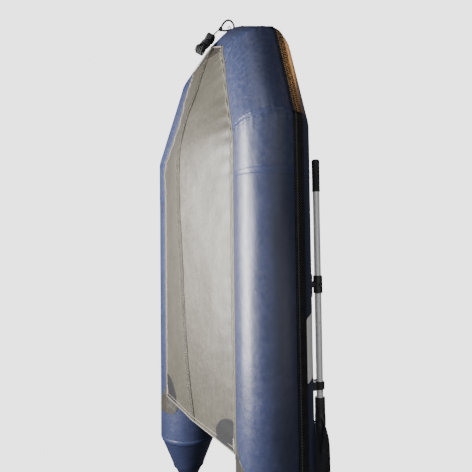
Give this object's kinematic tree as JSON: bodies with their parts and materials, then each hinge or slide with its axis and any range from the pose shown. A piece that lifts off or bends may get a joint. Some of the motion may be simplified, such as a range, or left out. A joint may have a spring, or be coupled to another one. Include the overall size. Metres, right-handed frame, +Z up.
{
  "type": "inflatable dinghy",
  "caption": "Inflatable dinghy with tapered side tubes joined by a raised bow, an air floor over a V bottom with inflatable keel, a rigid transom, a sliding seat and stowed oars.",
  "frame": {"origin": "below the middle of the boat, at the height of the keel strip's lowest point", "axes": "+Y towards the bow, +X to starboard, +Z up, with the boat upright as it floats"},
  "size_m": [1.556, 3.2289, 0.6708],
  "materials": {
    "grey_fabric": "satin",
    "navy_fabric": "satin",
    "deck_fabric": "matte",
    "black_rubber": "satin",
    "plywood": "satin",
    "seat_board": "satin",
    "plate_plastic": "matte",
    "holder_plastic": "matte",
    "track_plastic": "matte",
    "steel": "satin",
    "oar_tube": "satin",
    "oar_plastic": "satin",
    "grip_rubber": "matte",
    "rowlock_plastic": "satin",
    "valve_plastic": "satin",
    "handle_rubber": "satin",
    "rope": "matte"
  },
  "bodies": {
    "boat": {"starboard_side_tube": "navy_fabric", "port_side_tube": "navy_fabric", "starboard_bow_quarter": "navy_fabric", "port_bow_quarter": "navy_fabric", "bow_nose": "navy_fabric", "starboard_stern_cone": "navy_fabric", "port_stern_cone": "navy_fabric", "starboard_cone_tip": "navy_fabric", "port_cone_tip": "navy_fabric", "chamber_baffles": "navy_fabric", "bottom_skin": "grey_fabric", "keel_tube": "grey_fabric", "keel_strip": "black_rubber", "air_deck": "deck_fabric", "starboard_rub_strake": "black_rubber", "port_rub_strake": "black_rubber", "bow_rub_strake": "black_rubber", "transom_board": "plywood", "transom_plates": "plate_plastic", "transom_holders": "holder_plastic", "transom_eyes": "steel", "drain_socket": "valve_plastic", "thwart_rails": "track_plastic", "rowlock_bases": "rowlock_plastic", "oar_rests": "rowlock_plastic", "valve_bodies": "valve_plastic", "carry_handles": "handle_rubber", "bow_ring_pad": "handle_rubber", "bow_ring": "steel", "bow_strop": "rope", "painter_line": "rope", "painter_knot": "rope", "painter_hank": "rope"},
    "starboard_oar": {"starboard_oar_grip": "grip_rubber", "starboard_oar_upper_shaft": "oar_tube", "starboard_oar_lower_shaft": "oar_tube", "starboard_oar_ring": "oar_plastic", "starboard_oar_blade": "oar_plastic", "starboard_oar_collar": "rowlock_plastic"},
    "starboard_oar_lock_button": {"starboard_oar_button": "steel"},
    "port_oar": {"port_oar_grip": "grip_rubber", "port_oar_upper_shaft": "oar_tube", "port_oar_lower_shaft": "oar_tube", "port_oar_ring": "oar_plastic", "port_oar_blade": "oar_plastic", "port_oar_collar": "rowlock_plastic"},
    "port_oar_lock_button": {"port_oar_button": "steel"},
    "starboard_cap": {"starboard_valve_cap": "valve_plastic"},
    "starboard_plunger": {"starboard_valve_plunger": "valve_plastic"},
    "port_cap": {"port_valve_cap": "valve_plastic"},
    "port_plunger": {"port_valve_plunger": "valve_plastic"},
    "bow_cap": {"bow_valve_cap": "valve_plastic"},
    "bow_plunger": {"bow_valve_plunger": "valve_plastic"},
    "deck_cap": {"deck_valve_cap": "valve_plastic"},
    "deck_plunger": {"deck_valve_plunger": "valve_plastic"},
    "drain_plug": {"drain_plug": "black_rubber"},
    "thwart": {"thwart_board": "seat_board", "thwart_shoes": "track_plastic"}
  },
  "joints": [
    {"name": "starboard_oar_swing", "type": "hinge", "parent": "boat", "child": "starboard_oar", "pos_m": [0.63087, -0.072, 0.55269], "axis": [0.2368, 0, 0.9715], "range_deg": [0, 115]},
    {"name": "starboard_oar_button_press", "type": "slide", "parent": "starboard_oar", "child": "starboard_oar_lock_button", "axis": [-0.9715, 0, 0.2368], "range_m": [0, 0.003], "stiffness_N_per_m": 300},
    {"name": "port_oar_swing", "type": "hinge", "parent": "boat", "child": "port_oar", "pos_m": [-0.63087, -0.072, 0.55269], "axis": [0.2368, 0, -0.9715], "range_deg": [0, 115]},
    {"name": "port_oar_button_press", "type": "slide", "parent": "port_oar", "child": "port_oar_lock_button", "axis": [0.9715, 0, 0.2368], "range_m": [0, 0.003], "stiffness_N_per_m": 300},
    {"name": "starboard_valve_cap_turn", "type": "hinge", "parent": "boat", "child": "starboard_cap", "pos_m": [0.44144, -0.6955, 0.45621], "axis": [-0.6428, 0, 0.766], "range_deg": [0, 90]},
    {"name": "starboard_valve_plunger_press", "type": "slide", "parent": "boat", "child": "starboard_plunger", "axis": [0.6428, 0, -0.766], "range_m": [0, 0.005], "stiffness_N_per_m": 400},
    {"name": "port_valve_cap_turn", "type": "hinge", "parent": "boat", "child": "port_cap", "pos_m": [-0.44144, -0.6955, 0.45621], "axis": [0.6428, 0, 0.766], "range_deg": [0, 90]},
    {"name": "port_valve_plunger_press", "type": "slide", "parent": "boat", "child": "port_plunger", "axis": [-0.6428, 0, -0.766], "range_m": [0, 0.005], "stiffness_N_per_m": 400},
    {"name": "bow_valve_cap_turn", "type": "hinge", "parent": "boat", "child": "bow_cap", "pos_m": [-0.44144, 0.6095, 0.45621], "axis": [0.6428, 0, 0.766], "range_deg": [0, 90]},
    {"name": "bow_valve_plunger_press", "type": "slide", "parent": "boat", "child": "bow_plunger", "axis": [-0.6428, 0, -0.766], "range_m": [0, 0.005], "stiffness_N_per_m": 400},
    {"name": "deck_valve_cap_turn", "type": "hinge", "parent": "boat", "child": "deck_cap", "pos_m": [-0.29, -0.7205, 0.188], "axis": [0, 0, 1], "range_deg": [0, 90]},
    {"name": "deck_valve_plunger_press", "type": "slide", "parent": "boat", "child": "deck_plunger", "axis": [0, 0, -1], "range_m": [0, 0.005], "stiffness_N_per_m": 400},
    {"name": "drain_plug_pull", "type": "slide", "parent": "boat", "child": "drain_plug", "axis": [0, -1, 0], "range_m": [0, 0.04]},
    {"name": "thwart_slide", "type": "slide", "parent": "boat", "child": "thwart", "axis": [0, 1, 0], "range_m": [-0.18, 0.18]}
  ]
}
